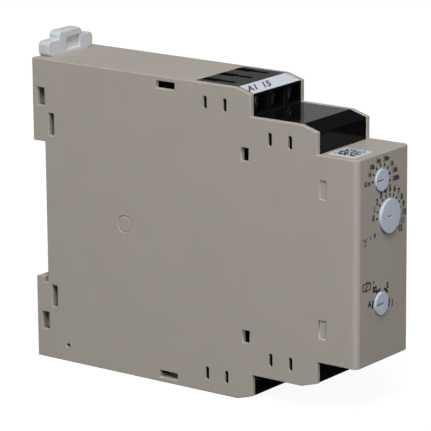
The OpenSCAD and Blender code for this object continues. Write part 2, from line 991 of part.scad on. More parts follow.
// Contact blade fixed to the armature, between the two fixed contacts
module relay_moving_contact() {
    blade_w = 4;
    blade_x = pivot_x - armature_t;
    color([0.8, 0.5, 0.25]) {
        span(
            [blade_x, yoke_y + yoke_t, -blade_w / 2],
            [blade_x + blade_t, contact_y + blade_t, blade_w / 2]
        );
        span([blade_x, contact_y, -blade_w / 2], [contact_x + 1.6, contact_y + blade_t, blade_w / 2]);
        rod_y(contact_x, 0, 2.2, contact_y - 0.5, contact_y + blade_t + 0.5);
    }
}

module relay_fixed_contacts() {
    blade_w = 4;
    swing = 7 * sin(armature_angle) + 0.12;
    front = contact_y - 0.5 - 0.5 - 0.04;
    rear = contact_y + blade_t + 0.5 + swing + 0.5;
    color([0.8, 0.5, 0.25]) {
        span([contact_x - 1.6, front - 0.5, -blade_w / 2], [board_x - base_t, front, blade_w / 2]);
        rod_y(contact_x, 0, 2.2, front - 0.1, front + 0.5);
        span([contact_x - 1.6, rear, -blade_w / 2], [board_x - base_t, rear + 0.5, blade_w / 2]);
        rod_y(contact_x, 0, 2.2, rear - 0.5, rear + 0.1);
    }
}

// ---- parts on the main board ----

// Upright can on the board face
module can(y, z, d, h) {
    rod_x(y, z, d, board_x - h, board_x - 0.3);
    for (s = [-1, 1])
        rod_x(y + s * d / 4, z, 0.6, board_x - 0.4, board_x);
}

module smoothing_capacitor() {
    color([0.16, 0.2, 0.34])
        can(main_front_y + 11, 8, 10, 15);
}

module output_capacitor() {
    color([0.16, 0.2, 0.34])
        can(main_front_y + 9, -8, 6.3, 11);
}

module film_capacitor() {
    color([0.75, 0.6, 0.2])
        span([board_x - 11, shoulder_y + 4, -high_z + 3], [board_x, shoulder_y + 17, -high_z + 8]);
}

transformer_y = main_front_y + 27;

module transformer() {
    core = [9, 13, 12.6];
    low = [board_x - core[0] - 2, transformer_y - core[1] / 2, -core[2] / 2];
    color([0.2, 0.2, 0.2])
        difference() {
            span(low, low + core);
            rod_x(transformer_y, 0, 10, low[0] + 1.6, low[0] + core[0] - 1.6);
        }
    color([0.12, 0.12, 0.12])
        span([board_x - 2, low[1], low[2]], [board_x, low[1] + core[1], low[2] + core[2]]);
}

module transformer_winding() {
    x0 = board_x - 11 + 1.8;
    color([0.85, 0.75, 0.3])
        rod_x(transformer_y, 0, 9.6, x0, x0 + 5.4);
}

module varistor() {
    color([0.15, 0.3, 0.65]) {
        rod_y(board_x - 5.4, -12, 9, main_front_y + 20, main_front_y + 23.6);
        for (s = [-1, 1])
            rod_x(main_front_y + 21.8, -12 + s * 2.5, 0.8, board_x - 2.2, board_x);
    }
}

module bridge_rectifier() {
    color([0.14, 0.14, 0.14])
        span([board_x - 2.6, shoulder_y + 4, high_z - 12], [board_x - 0.2, shoulder_y + 12.4, high_z - 5.6]);
    color(metal_colour)
        for (i = [0, 1], s = [0, 1]) {
            y = shoulder_y + 5.6 + i * 5.1;
            z = high_z - 12.9 + s * 7;
            span([board_x - 0.5, y - 0.5, z], [board_x, y + 0.5, z + 1.2]);
        }
}

module controller_chip() {
    side = 7;
    pins = 8;
    pitch = 0.8;
    y = main_rear_y - 9;
    z = high_z - 9;
    color([0.12, 0.12, 0.12])
        span([board_x - 1.6, y - side / 2, z - side / 2], [board_x - 0.2, y + side / 2, z + side / 2]);
    color(metal_colour)
        for (turn = [0:3], i = [0:pins - 1])
            translate([board_x - 0.35, y, z])
                rotate([90 * turn, 0, 0])
                    translate([0, (i - (pins - 1) / 2) * pitch - 0.15, side / 2 - 0.2])
                        cube([0.35, 0.3, 1.1]);
}

module fuse_resistor() {
    y = main_rear_y - 8;
    color([0.75, 0.65, 0.45]) {
        translate([board_x - 3, y, -high_z + 3])
            cylinder(d = 3.6, h = 9);
        for (z = [-high_z + 2.2, -high_z + 12])
            rod_x(y, z, 0.8, board_x - 3.2, board_x);
        translate([board_x - 3, y, -high_z + 1.9])
            cylinder(d = 0.8, h = 10.4);
    }
}

housing();
side_cover();
terminal_block(1);  // terminal_block_top
terminal_block(-1);  // terminal_block_bottom
blank_cover(1);  // blank_cover_top
blank_cover(-1);  // blank_cover_bottom
terminal_label(1);  // terminal_label_top
terminal_label(-1);  // terminal_label_bottom
code_label();
contact_bars(1);  // contact_bars_top
contact_bars(-1);  // contact_bars_bottom
for (i = [1:terminal_count]) {
    terminal_screw(i, 1);
    terminal_screw(i, -1);
    wire_clamp(i, 1);
    wire_clamp(i, -1);
}
rail_latch();
latch_spring();
dial(range_x, range_z, range_d, small_proud, -0.43 * range_d, 0.4);  // range_dial
dial(time_x, time_z, time_d, time_proud, -1.4, 0.1);  // time_dial
dial(mode_x, mode_z, mode_d, small_proud, -0.42 * mode_d, 0.8);  // mode_dial
dial_body(range_x, range_z, range_body_w, body_thick);  // range_switch
dial_body(time_x, time_z, time_body_w, body_thick);  // time_potentiometer
dial_body(mode_x, mode_z, mode_body_w, body_thick);  // mode_switch
indicator_leds();
front_board();
main_board();
board_header();
relay_base();
relay_cover();
relay_winding();
relay_bobbin();
relay_core();
relay_yoke();
relay_armature();
relay_moving_contact();
relay_fixed_contacts();
smoothing_capacitor();
output_capacitor();
film_capacitor();
transformer();
transformer_winding();
varistor();
bridge_rectifier();
controller_chip();
fuse_resistor();
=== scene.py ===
import json
import math

import bmesh
import bpy
from mathutils import Matrix, Vector


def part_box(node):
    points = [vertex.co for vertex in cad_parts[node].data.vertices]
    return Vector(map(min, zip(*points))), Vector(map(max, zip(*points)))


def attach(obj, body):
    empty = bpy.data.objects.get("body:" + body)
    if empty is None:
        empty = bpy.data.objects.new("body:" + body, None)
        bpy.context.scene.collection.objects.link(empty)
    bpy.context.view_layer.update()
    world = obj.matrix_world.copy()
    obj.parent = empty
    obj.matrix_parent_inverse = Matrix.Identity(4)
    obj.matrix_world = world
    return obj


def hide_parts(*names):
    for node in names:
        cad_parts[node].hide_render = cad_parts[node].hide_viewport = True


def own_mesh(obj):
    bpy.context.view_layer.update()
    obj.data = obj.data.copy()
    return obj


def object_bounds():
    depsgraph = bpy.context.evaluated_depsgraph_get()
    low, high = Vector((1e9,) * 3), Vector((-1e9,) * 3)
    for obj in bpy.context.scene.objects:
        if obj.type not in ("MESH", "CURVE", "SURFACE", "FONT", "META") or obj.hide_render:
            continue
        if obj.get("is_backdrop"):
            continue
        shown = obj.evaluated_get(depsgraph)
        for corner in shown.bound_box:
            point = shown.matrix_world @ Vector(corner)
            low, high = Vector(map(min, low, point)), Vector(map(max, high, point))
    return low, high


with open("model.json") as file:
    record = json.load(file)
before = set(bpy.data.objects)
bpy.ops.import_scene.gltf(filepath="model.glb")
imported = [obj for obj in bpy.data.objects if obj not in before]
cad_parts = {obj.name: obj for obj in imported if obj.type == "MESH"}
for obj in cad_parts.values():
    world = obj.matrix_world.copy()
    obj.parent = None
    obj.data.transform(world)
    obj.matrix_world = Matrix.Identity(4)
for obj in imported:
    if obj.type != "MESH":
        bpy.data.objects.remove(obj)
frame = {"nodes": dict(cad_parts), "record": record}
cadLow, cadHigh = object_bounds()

# A slim time relay for a 35 mm rail: moulded case, black terminal tiers, printed
# front scales, three dials and a white rail latch. Everything is in metres.
mm = 0.001
nodes = frame["nodes"]
record = frame["record"]
scene = bpy.context.scene
scene.view_settings.view_transform = "Standard"

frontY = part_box("housing")[0].y
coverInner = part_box("side_cover")[1].x
bodyOf = {n: body for body, members in record["behaviour"]["bodies"].items() for n in members}
slotOf = {entry["node"]: entry["material_slot"] for entry in record["subparts"]}


# shader node groups that several materials share

def newGroup(name, inputs, outputs):
    tree = bpy.data.node_groups.new(name, "ShaderNodeTree")
    for label, kind, value in inputs:
        socket = tree.interface.new_socket(label, in_out="INPUT", socket_type=kind)
        socket.default_value = value
    for label, kind in outputs:
        tree.interface.new_socket(label, in_out="OUTPUT", socket_type=kind)
    return tree, tree.nodes.new("NodeGroupInput"), tree.nodes.new("NodeGroupOutput")


def addNode(tree, kind, **settings):
    node = tree.nodes.new(kind)
    for key, value in settings.items():
        setattr(node, key, value)
    return node


def addMath(tree, operation, first, second=None, clamp=False):
    node = addNode(tree, "ShaderNodeMath", operation=operation, use_clamp=clamp)
    for index, value in enumerate((first, second)):
        if value is None:
            continue
        if isinstance(value, (int, float)):
            node.inputs[index].default_value = value
        else:
            tree.links.new(value, node.inputs[index])
    return node.outputs[0]


def addNoise(tree, vector, scale, detail=2.0, rough=0.5):
    node = addNode(tree, "ShaderNodeTexNoise")
    tree.links.new(vector, node.inputs["Vector"])
    if isinstance(scale, (int, float)):
        node.inputs["Scale"].default_value = scale
    else:
        tree.links.new(scale, node.inputs["Scale"])
    node.inputs["Detail"].default_value = detail
    node.inputs["Roughness"].default_value = rough
    return node.outputs["Fac"]


def addMix(tree, factor, first, second):
    node = addNode(tree, "ShaderNodeMix", data_type="RGBA")
    for value, socket in ((factor, node.inputs[0]), (first, node.inputs[6]), (second, node.inputs[7])):
        if hasattr(value, "links"):
            tree.links.new(value, socket)
        else:
            socket.default_value = value
    return node.outputs[2]


def buildMouldGrain():
    # fine spark-eroded texture plus slow mottling, as on a moulded case
    tree, start, end = newGroup(
        "mouldGrain",
        [("Grain Scale", "NodeSocketFloat", 2600.0), ("Mottle Scale", "NodeSocketFloat", 90.0)],
        [("Height", "NodeSocketFloat"), ("Mottle", "NodeSocketFloat")])
    place = addNode(tree, "ShaderNodeTexCoord").outputs["Object"]
    fine = addNoise(tree, place, start.outputs["Grain Scale"], 3.0, 0.6)
    slow = addNoise(tree, place, start.outputs["Mottle Scale"], 3.0, 0.55)
    tree.links.new(fine, end.inputs["Height"])
    tree.links.new(slow, end.inputs["Mottle"])
    return tree


def buildEdgeWear():
    # where the surface turns sharply, broken up with noise; the lighter colour mixed in there is part edge
    # wear, part painted highlight
    tree, start, end = newGroup(
        "edgeWearAndHighlight",
        [("Radius", "NodeSocketFloat", 0.0004), ("Breakup", "NodeSocketFloat", 700.0)],
        [("Mask", "NodeSocketFloat")])
    bevel = addNode(tree, "ShaderNodeBevel", samples=4)
    tree.links.new(start.outputs["Radius"], bevel.inputs["Radius"])
    dot = addNode(tree, "ShaderNodeVectorMath", operation="DOT_PRODUCT")
    geometry = addNode(tree, "ShaderNodeNewGeometry")
    tree.links.new(bevel.outputs["Normal"], dot.inputs[0])
    tree.links.new(geometry.outputs["Normal"], dot.inputs[1])
    turned = addMath(tree, "SUBTRACT", 1.0, dot.outputs["Value"], clamp=True)
    place = addNode(tree, "ShaderNodeTexCoord").outputs["Object"]
    broken = addNoise(tree, place, start.outputs["Breakup"], 2.0)
    mask = addMath(tree, "MULTIPLY", turned, broken)
    tree.links.new(addMath(tree, "MULTIPLY", mask, 6.0, clamp=True), end.inputs["Mask"])
    return tree


def buildDust():
    # thin dust that settles on what faces up
    tree, start, end = newGroup(
        "settledDust",
        [("Scale", "NodeSocketFloat", 500.0), ("Amount", "NodeSocketFloat", 0.3)],
        [("Mask", "NodeSocketFloat")])
    geometry = addNode(tree, "ShaderNodeNewGeometry")
    parts = addNode(tree, "ShaderNodeSeparateXYZ")
    tree.links.new(geometry.outputs["Normal"], parts.inputs[0])
    up = addMath(tree, "MAXIMUM", parts.outputs["Z"], 0.0)
    place = addNode(tree, "ShaderNodeTexCoord").outputs["Object"]
    specks = addNoise(tree, place, start.outputs["Scale"], 6.0, 0.75)
    sharp = addMath(tree, "POWER", specks, 3.0)
    settled = addMath(tree, "MULTIPLY", sharp, up)
    mask = addMath(tree, "MULTIPLY", settled, start.outputs["Amount"], clamp=True)
    tree.links.new(mask, end.inputs["Mask"])
    return tree


def buildBrushed():
    # drawn lines along one axis; Stretch squeezes the noise across it
    tree, start, end = newGroup(
        "brushedLines",
        [("Scale", "NodeSocketFloat", 900.0), ("Stretch", "NodeSocketVector", (1.0, 0.06, 1.0))],
        [("Height", "NodeSocketFloat"), ("Tone", "NodeSocketFloat")])
    place = addNode(tree, "ShaderNodeTexCoord").outputs["Object"]
    mapping = addNode(tree, "ShaderNodeMapping")
    tree.links.new(place, mapping.inputs["Vector"])
    tree.links.new(start.outputs["Stretch"], mapping.inputs["Scale"])
    lines = addNoise(tree, mapping.outputs["Vector"], start.outputs["Scale"], 4.0, 0.6)
    tone = addNoise(tree, place, 240.0, 3.0)
    tree.links.new(lines, end.inputs["Height"])
    tree.links.new(tone, end.inputs["Tone"])
    return tree


groups = {"grain": buildMouldGrain(), "wearAndHighlight": buildEdgeWear(), "dust": buildDust(), "brushed": buildBrushed()}


def useGroup(tree, key, **values):
    node = addNode(tree, "ShaderNodeGroup", node_tree=groups[key])
    for label, value in values.items():
        node.inputs[label.replace("_", " ")].default_value = value
    return node


# materials, each with its own settings further down

def newMaterial(name, **sockets):
    material = bpy.data.materials.new(name)
    material.use_nodes = True
    shader = material.node_tree.nodes["Principled BSDF"]
    for label, value in sockets.items():
        shader.inputs[label.replace("_", " ")].default_value = value
    return material, material.node_tree, shader


def addBump(tree, shader, height, strength, distance):
    bump = addNode(tree, "ShaderNodeBump")
    bump.inputs["Strength"].default_value = strength
    bump.inputs["Distance"].default_value = distance
    tree.links.new(height, bump.inputs["Height"])
    tree.links.new(bump.outputs["Normal"], shader.inputs["Normal"])


def ranged(tree, value, low, high):
    node = addNode(tree, "ShaderNodeMapRange")
    node.inputs["To Min"].default_value = low
    node.inputs["To Max"].default_value = high
    tree.links.new(value, node.inputs["Value"])
    return node.outputs["Result"]


dustColour = (0.55, 0.53, 0.5, 1)


def plastic(name, settings):
    material, tree, shader = newMaterial(
        name, IOR=1.5, Specular_IOR_Level=settings.get("specular", 0.5),
        Subsurface_Weight=settings.get("subsurface", 0.0), Subsurface_Scale=0.001,
        Coat_Roughness=0.1)
    grain = useGroup(tree, "grain", Grain_Scale=settings["grain"], Mottle_Scale=settings.get("mottle", 90.0))
    wearAndHighlight = useGroup(tree, "wearAndHighlight", Radius=settings.get("edge", 0.0004))
    dust = useGroup(tree, "dust", Amount=settings.get("dust", 0.2))
    base = addMix(tree, grain.outputs["Mottle"], (*settings["dark"], 1), (*settings["light"], 1))
    # edges turn toward a lighter colour: part wear, part painted highlight
    wornAndHighlit = addMix(tree, wearAndHighlight.outputs["Mask"], base, (*settings["wornAndHighlit"], 1))
    dusty = addMix(tree, dust.outputs["Mask"], wornAndHighlit, dustColour)
    tree.links.new(dusty, shader.inputs["Base Color"])
    low, high = settings["rough"]
    rough = ranged(tree, grain.outputs["Mottle"], low, high)
    tree.links.new(addMath(tree, "ADD", rough, dust.outputs["Mask"], clamp=True), shader.inputs["Roughness"])
    addBump(tree, shader, grain.outputs["Height"], settings["bump"], settings.get("depth", 0.00002))
    return material


def metal(name, settings):
    material, tree, shader = newMaterial(name, Metallic=1.0, Anisotropic=settings.get("anisotropic", 0.3))
    stretch = settings.get("stretch", (1, 0.06, 1))
    brushed = useGroup(tree, "brushed", Scale=settings["lines"], Stretch=stretch)
    wearAndHighlight = useGroup(tree, "wearAndHighlight", Radius=0.0002)
    base = addMix(tree, brushed.outputs["Tone"], (*settings["dark"], 1), (*settings["light"], 1))
    # edges turn toward a lighter colour: part wear, part painted highlight
    wornAndHighlit = addMix(tree, wearAndHighlight.outputs["Mask"], base, (*settings["wornAndHighlit"], 1))
    tree.links.new(wornAndHighlit, shader.inputs["Base Color"])
    low, high = settings["rough"]
    tree.links.new(ranged(tree, brushed.outputs["Height"], low, high), shader.inputs["Roughness"])
    addBump(tree, shader, brushed.outputs["Height"], settings["bump"], 0.00001)
    return material


# the worn colours, lighter than the base, are part edge wear and part painted highlight
finishes = {
    # case parts
    "casePlastic": dict(grain=2400, dark=(0.385, 0.352, 0.312), light=(0.415, 0.382, 0.338),
                        wornAndHighlit=(0.46, 0.425, 0.375), rough=(0.46, 0.56), bump=0.12, dust=0.05),
    "blockPlastic": dict(grain=2600, dark=(0.0025, 0.0025, 0.003), light=(0.0045, 0.0045, 0.005),
                         wornAndHighlit=(0.02, 0.02, 0.021), rough=(0.24, 0.32), bump=0.08, specular=0.06, dust=0.02),
    "glossBlack": dict(grain=1800, dark=(0.002, 0.002, 0.003), light=(0.0035, 0.0035, 0.0045), specular=0.15,
                       wornAndHighlit=(0.02, 0.02, 0.024), rough=(0.08, 0.13), bump=0.015, dust=0.02),
    "latchPlastic": dict(grain=1400, dark=(0.55, 0.56, 0.59), light=(0.61, 0.62, 0.65),
                         wornAndHighlit=(0.68, 0.7, 0.73), rough=(0.4, 0.5), bump=0.08, subsurface=0.6,
                         specular=0.3, dust=0.05),
    "dialPlastic": dict(grain=1500, dark=(0.52, 0.58, 0.68), light=(0.58, 0.64, 0.74),
                        wornAndHighlit=(0.6, 0.66, 0.75), rough=(0.46, 0.56), bump=0.05, subsurface=0.6,
                        specular=0.25, dust=0.03),
    "labelFilm": dict(grain=1700, dark=(0.58, 0.61, 0.68), light=(0.65, 0.68, 0.75),
                      wornAndHighlit=(0.6, 0.62, 0.68), rough=(0.36, 0.46), bump=0.04, dust=0.08),
    "printInk": dict(grain=3000, dark=(0.005, 0.005, 0.006), light=(0.009, 0.009, 0.01),
                     wornAndHighlit=(0.03, 0.03, 0.03), rough=(0.45, 0.6), bump=0.05, dust=0.0),
    # painted shade for the inside of a dial's pointer groove
    "dialGroovePaintedShade": dict(grain=1500, dark=(0.27, 0.32, 0.4), light=(0.31, 0.36, 0.44),
                       wornAndHighlit=(0.36, 0.41, 0.5), rough=(0.6, 0.7), bump=0.05, dust=0.0),
    # inner parts
    "switchBody": dict(grain=2000, dark=(0.03, 0.05, 0.12), light=(0.04, 0.065, 0.15),
                       wornAndHighlit=(0.1, 0.13, 0.25), rough=(0.4, 0.5), bump=0.1),
    "boardLaminate": dict(grain=900, mottle=1500.0, dark=(0.012, 0.085, 0.04), light=(0.03, 0.14, 0.07),
                          wornAndHighlit=(0.45, 0.42, 0.25), rough=(0.2, 0.3), bump=0.15),
    "blackNylon": dict(grain=2200, dark=(0.012, 0.012, 0.012), light=(0.02, 0.02, 0.02),
                       wornAndHighlit=(0.06, 0.06, 0.06), rough=(0.45, 0.6), bump=0.12),
    "relayCase": dict(grain=1600, dark=(0.04, 0.12, 0.26), light=(0.055, 0.15, 0.31),
                      wornAndHighlit=(0.2, 0.3, 0.45), rough=(0.12, 0.2), bump=0.03),
    "bobbinNylon": dict(grain=1900, dark=(0.62, 0.6, 0.52), light=(0.7, 0.68, 0.6),
                        wornAndHighlit=(0.8, 0.78, 0.72), rough=(0.4, 0.5), bump=0.06, subsurface=0.2),
    "sleeve": dict(grain=1200, dark=(0.012, 0.018, 0.05), light=(0.02, 0.028, 0.07),
                   wornAndHighlit=(0.08, 0.09, 0.15), rough=(0.15, 0.25), bump=0.05),
    "filmBox": dict(grain=1500, dark=(0.5, 0.32, 0.05), light=(0.58, 0.38, 0.07),
                    wornAndHighlit=(0.7, 0.5, 0.15), rough=(0.22, 0.32), bump=0.05),
    "ferriteBlack": dict(grain=1100, dark=(0.02, 0.02, 0.021), light=(0.045, 0.045, 0.045),
                         wornAndHighlit=(0.1, 0.1, 0.1), rough=(0.55, 0.75), bump=0.3),
    "windingTape": dict(grain=700, dark=(0.6, 0.45, 0.08), light=(0.7, 0.55, 0.12),
                        wornAndHighlit=(0.8, 0.65, 0.2), rough=(0.15, 0.25), bump=0.06),
    "varistorCoat": dict(grain=800, dark=(0.02, 0.05, 0.25), light=(0.03, 0.07, 0.32),
                         wornAndHighlit=(0.1, 0.15, 0.4), rough=(0.25, 0.35), bump=0.15),
    "chipEpoxy": dict(grain=2600, dark=(0.014, 0.014, 0.015), light=(0.028, 0.028, 0.028),
                      wornAndHighlit=(0.06, 0.06, 0.06), rough=(0.55, 0.7), bump=0.2),
    "resistorCoat": dict(grain=1400, dark=(0.45, 0.33, 0.16), light=(0.55, 0.42, 0.22),
                         wornAndHighlit=(0.65, 0.55, 0.35), rough=(0.4, 0.55), bump=0.12),
    "ledResin": dict(grain=900, dark=(0.7, 0.72, 0.55), light=(0.8, 0.82, 0.66),
                     wornAndHighlit=(0.9, 0.9, 0.8), rough=(0.1, 0.18), bump=0.02, subsurface=0.3),
}
# the worn colours here too are part edge wear, part painted highlight
metals = {
    # steel darkened all over as painted shade for the screws and clamps deep in the terminal pockets
    "zincSteelPaintedShade": dict(lines=1400, dark=(0.27, 0.27, 0.27), light=(0.38, 0.38, 0.37), wornAndHighlit=(0.5, 0.5, 0.49),
                      rough=(0.22, 0.36), bump=0.12),
    "tinPlate": dict(lines=1100, dark=(0.58, 0.57, 0.52), light=(0.7, 0.69, 0.64), wornAndHighlit=(0.8, 0.78, 0.7),
                     rough=(0.25, 0.4), bump=0.1, stretch=(1, 1, 0.06)),
    "springWire": dict(lines=2600, dark=(0.4, 0.4, 0.4), light=(0.55, 0.55, 0.55), wornAndHighlit=(0.6, 0.6, 0.6),
                       rough=(0.2, 0.3), bump=0.08),
    "relayIron": dict(lines=900, dark=(0.42, 0.42, 0.41), light=(0.54, 0.54, 0.52), wornAndHighlit=(0.65, 0.65, 0.62),
                      rough=(0.28, 0.42), bump=0.15, stretch=(1, 1, 0.06)),
    "contactCopper": dict(lines=1300, dark=(0.62, 0.36, 0.18), light=(0.74, 0.46, 0.24),
                          wornAndHighlit=(0.85, 0.6, 0.35), rough=(0.22, 0.36), bump=0.1, stretch=(1, 1, 0.06)),
    "enamelWire": dict(lines=2200, dark=(0.48, 0.17, 0.06), light=(0.6, 0.24, 0.08), wornAndHighlit=(0.7, 0.35, 0.15),
                       rough=(0.18, 0.28), bump=0.05),
}
materials = {name: plastic(name, settings) for name, settings in finishes.items()}
materials.update({name: metal(name, settings) for name, settings in metals.items()})
print("materials:", len(materials))

slotFinish = {
    "case_plastic": "casePlastic", "terminal_plastic": "blockPlastic", "label_film": "labelFilm",
    "contact_metal": "tinPlate", "screw_steel": "zincSteelPaintedShade", "clamp_steel": "zincSteelPaintedShade",
    "latch_plastic": "latchPlastic", "spring_steel": "springWire", "dial_plastic": "dialPlastic",
    "switch_plastic": "switchBody", "led_resin": "ledResin", "board_laminate": "boardLaminate",
    "header_plastic": "blackNylon", "relay_base_plastic": "blackNylon", "relay_cover_plastic": "relayCase",
    "copper_wire": "enamelWire", "bobbin_plastic": "bobbinNylon", "relay_iron": "relayIron",
    "contact_copper": "contactCopper", "capacitor_sleeve": "sleeve", "film_box": "filmBox",
    "ferrite": "ferriteBlack", "winding_tape": "windingTape", "varistor_coat": "varistorCoat",
    "chip_epoxy": "chipEpoxy", "resistor_coat": "resistorCoat",
}
for name, node in nodes.items():
    node.data.materials.clear()
    node.data.materials.append(materials[slotFinish[slotOf[name]]])


# small helpers for meshes

def link(mesh, name):
    piece = bpy.data.objects.new(name, mesh)
    scene.collection.objects.link(piece)
    return piece


def settle(piece):
    # turns the evaluated piece into a plain mesh and drops its modifiers
    graph = bpy.context.evaluated_depsgraph_get()
    graph.update()
    mesh = bpy.data.meshes.new_from_object(piece.evaluated_get(graph), depsgraph=graph)
    piece.modifiers.clear()
    old = piece.data
    piece.data = mesh
    if old.users == 0:
        bpy.data.meshes.remove(old)
    return piece


def setSharp(mesh, degrees):
    mesh.shade_smooth()
    mesh.set_sharp_from_angle(angle=math.radians(degrees))


# lengths in mm, angles in degrees; follow is the least cosine between edges of one line
edgeRules = dict(weld=0.002, flat=0.4, sharp=28, smooth=35, follow=0.93, inward=0.3, jointReach=0.02,
                 jointWeight=0.1)
# Softened copy of CAD nodes: faces merged into flats, then every real edge gets a small round
softening = {
    "housing": dict(width=0.22, fine=0.06, segments=3, long=3.0, joint=coverInner),
    "side_cover": dict(width=0.22, fine=0.06, segments=3, long=3.0, joint=coverInner),
    "terminal_block_top": dict(width=0.16, fine=0.05, segments=2, long=3.0),
    "terminal_block_bottom": dict(width=0.16, fine=0.05, segments=2, long=3.0),
    "blank_cover_top": dict(width=0.25, fine=0.05, segments=3, long=3.0),
    "blank_cover_bottom": dict(width=0.25, fine=0.05, segments=3, long=3.0),
    "rail_latch": dict(width=0.3, fine=0.12, segments=3, long=0.0),
    "range_dial": dict(width=0.08, fine=0.05, segments=2, long=0.0),
    "time_dial": dict(width=0.1, fine=0.05, segments=2, long=0.0),
    "mode_dial": dict(width=0.08, fine=0.05, segments=2, long=0.0),
}
softening.update({f"screw_{end}_{i}": dict(width=0.12, fine=0.06, segments=2, long=0.0)
                  for end in ("top", "bottom") for i in (1, 2, 3)})


def edgeDirection(edge):
    return (edge.verts[1].co - edge.verts[0].co).normalized()


def broadEdges(edges, long):
    # long sharp edges, and the short ones that carry the same line on round a corner
    sharp = set(edges)
    chosen = {edge for edge in edges if edge.calc_length() >= long * mm}
    queue = list(chosen)
    while queue:
        edge = queue.pop()
        for vert in edge.verts:
            for other in vert.link_edges:
                if other in chosen or other not in sharp:
                    continue
                if abs(edgeDirection(edge).dot(edgeDirection(other))) > edgeRules["follow"]:
                    chosen.add(other)
                    queue.append(other)
    return chosen


def softened(name, settings):
    source = nodes[name]
    mesh = source.data.copy()
    shape = bmesh.new()
    shape.from_mesh(mesh)
    bmesh.ops.remove_doubles(shape, verts=shape.verts, dist=edgeRules["weld"] * mm)
    bmesh.ops.dissolve_limit(shape, angle_limit=math.radians(edgeRules["flat"]), verts=shape.verts,
                             edges=shape.edges)
    weight = shape.edges.layers.float.new("bevel_weight_edge")
    fineWeight = settings["fine"] / settings["width"]
    sharp = [edge for edge in shape.edges
             if len(edge.link_faces) == 2 and edge.calc_face_angle(0) >= math.radians(edgeRules["sharp"])]
    broad = broadEdges(sharp, settings["long"])
    joint = settings.get("joint")
    for edge in sharp:
        edge[weight] = 1.0 if edge in broad else fineWeight
        if edge.calc_face_angle_signed(0) < 0:
            edge[weight] = edgeRules["inward"] * fineWeight
        if joint is not None and all(abs(vert.co.x - joint) < edgeRules["jointReach"] * mm
                                     for vert in edge.verts):
            edge[weight] = edgeRules["jointWeight"]
    shape.to_mesh(mesh)
    shape.free()
    piece = link(mesh, "soft_" + name)
    bevel = piece.modifiers.new("edges", "BEVEL")
    bevel.limit_method = "WEIGHT"
    bevel.width = settings["width"] * mm
    bevel.segments = settings["segments"]
    bevel.use_clamp_overlap = False
    bevel.miter_outer = "MITER_SHARP"
    normals = piece.modifiers.new("normals", "WEIGHTED_NORMAL")
    normals.keep_sharp = True
    setSharp(piece.data, edgeRules["smooth"])
    settle(piece)
    piece.data.materials.clear()
    piece.data.materials.append(source.data.materials[0])
    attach(piece, bodyOf[name])
    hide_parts(name)
    return piece


soft = {name: softened(name, settings) for name, settings in softening.items()}
for name in ("blank_cover_top", "blank_cover_bottom"):
    soft[name].data.materials[0] = materials["glossBlack"]

# painted shade: faces inside a dial's pointer groove get a darker material, standing in for the shade in the
# groove
groove = dict(top=0.03, bottom=0.45, half=0.24, rim=0.62)


def tintGroove(name):
    mesh = soft[name].data
    mesh.materials.append(materials["dialGroovePaintedShade"])
    low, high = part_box(name)
    middle = (low + high) / 2
    reach = high.x - middle.x - groove["rim"] * mm
    for face in mesh.polygons:
        across, upward = face.center.x - middle.x, face.center.z - middle.z
        deep = groove["top"] * mm < face.center.y - low.y < groove["bottom"] * mm
        if deep and abs(upward) < groove["half"] * mm and math.hypot(across, upward) < reach:
            face.material_index = 1


for name in ("range_dial", "time_dial", "mode_dial"):
    tintGroove(name)
print("softened pieces:", len(soft))


# small helpers for geometry node trees

def newTree(name, inputs):
    tree = bpy.data.node_groups.new(name, "GeometryNodeTree")
    for label, kind, value in inputs:
        socket = tree.interface.new_socket(label, in_out="INPUT", socket_type=kind)
        socket.default_value = value
    tree.interface.new_socket("Geometry", in_out="OUTPUT", socket_type="NodeSocketGeometry")
    return tree, tree.nodes.new("NodeGroupInput"), tree.nodes.new("NodeGroupOutput")


def endTree(tree, geometry, end, material):
    realize = tree.nodes.new("GeometryNodeRealizeInstances")
    paint = tree.nodes.new("GeometryNodeSetMaterial")
    paint.inputs["Material"].default_value = material
    tree.links.new(geometry, realize.inputs[0])
    tree.links.new(realize.outputs[0], paint.inputs[0])
    tree.links.new(paint.outputs[0], end.inputs[0])


def grow(tree, name, values):
    # runs a tree on an empty mesh and keeps the result as a plain mesh
    piece = link(bpy.data.meshes.new(name), name)
    modifier = piece.modifiers.new("nodes", "NODES")
    modifier.node_group = tree
    sockets = {item.name: item.identifier for item in tree.interface.items_tree if item.in_out == "INPUT"}
    for label, value in values.items():
        modifier[sockets[label]] = value
    return settle(piece)


def joined(pieces, name):
    shape = bmesh.new()
    for piece in pieces:
        piece.data.transform(piece.matrix_world)
        shape.from_mesh(piece.data)
    mesh = bpy.data.meshes.new(name)
    for material in pieces[0].data.materials:
        mesh.materials.append(material)
    shape.to_mesh(mesh)
    shape.free()
    for piece in pieces:
        bpy.data.objects.remove(piece)
    return link(mesh, name)


